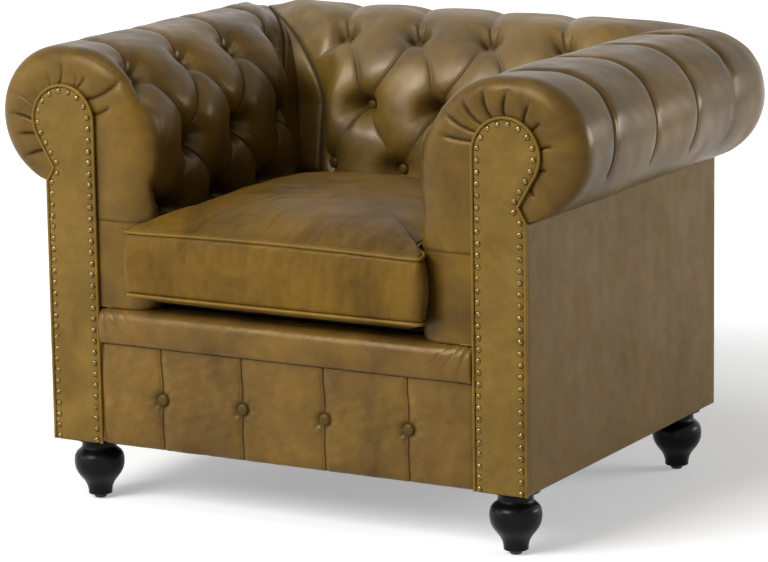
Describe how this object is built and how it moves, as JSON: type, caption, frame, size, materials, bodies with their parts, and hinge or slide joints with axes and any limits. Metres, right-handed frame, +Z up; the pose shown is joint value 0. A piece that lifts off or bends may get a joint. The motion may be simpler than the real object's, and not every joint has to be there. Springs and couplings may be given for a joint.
{
  "type": "club armchair",
  "caption": "Deep-buttoned club armchair: rolled arms and back of one height, loose box seat cushion, nail-trimmed keyhole facings, turned bun feet.",
  "frame": {"origin": "on the floor, under the middle of the whole chair's width and depth", "axes": "+X across the chair towards the right arm as seen from in front, +Y from front to back, +Z up"},
  "size_m": [1.0308, 0.8002, 0.7288],
  "materials": {
    "leather": "aged olive-ochre pull-up leather, semi-gloss",
    "matte_leather": "the same leather, matte and grained",
    "pale_wood": "sawn beech",
    "plywood": "birch plywood",
    "black_wood": "turned wood, black satin lacquer",
    "steel": "spring and bolt steel",
    "cambric": "black non-woven cloth",
    "deck_cloth": "dark platform cloth over a felt pad",
    "nylon": "nylon glide"
  },
  "bodies": {
    "chair": {"left_arm_pad": "leather", "right_arm_pad": "leather", "back_pad": "leather", "left_arm_facing": "matte_leather", "right_arm_facing": "matte_leather", "left_facing_welt": "leather", "right_facing_welt": "leather", "left_arm_front_board": "plywood", "right_arm_front_board": "plywood", "left_arm_roll_rail": "pale_wood", "right_arm_roll_rail": "pale_wood", "back_roll_rail": "pale_wood", "left_side_rail": "pale_wood", "right_side_rail": "pale_wood", "left_arm_tack_slat": "pale_wood", "right_arm_tack_slat": "pale_wood", "front_rail": "pale_wood", "back_rail": "pale_wood", "back_tack_slat": "pale_wood", "left_rear_post": "pale_wood", "right_rear_post": "pale_wood", "left_front_corner_block": "pale_wood", "right_front_corner_block": "pale_wood", "left_rear_corner_block": "pale_wood", "right_rear_corner_block": "pale_wood", "left_outside_arm_panel": "leather", "right_outside_arm_panel": "leather", "outside_back_panel": "leather", "dust_cover": "cambric", "front_lip": "leather", "apron": "leather", "apron_button_1": "leather", "apron_button_2": "leather", "apron_button_3": "leather", "apron_button_4": "leather", "sinuous_spring_1": "steel", "sinuous_spring_2": "steel", "sinuous_spring_3": "steel", "sinuous_spring_4": "steel", "sinuous_spring_5": "steel", "deck_pad": "deck_cloth", "left_front_foot": "black_wood", "right_front_foot": "black_wood", "left_front_foot_bolt": "steel", "right_front_foot_bolt": "steel", "left_front_foot_glide": "nylon", "right_front_foot_glide": "nylon", "left_rear_foot": "black_wood", "right_rear_foot": "black_wood", "left_rear_foot_bolt": "steel", "right_rear_foot_bolt": "steel", "left_rear_foot_glide": "nylon", "right_rear_foot_glide": "nylon"},
    "cushion": {"seat_cushion": "leather", "cushion_welt_top": "leather", "cushion_welt_bottom": "leather"}
  },
  "joints": [
    {"name": "cushion_lift", "type": "slide", "parent": "chair", "child": "cushion", "axis": [0, 0, 1], "range_m": [0, 0.42]}
  ]
}
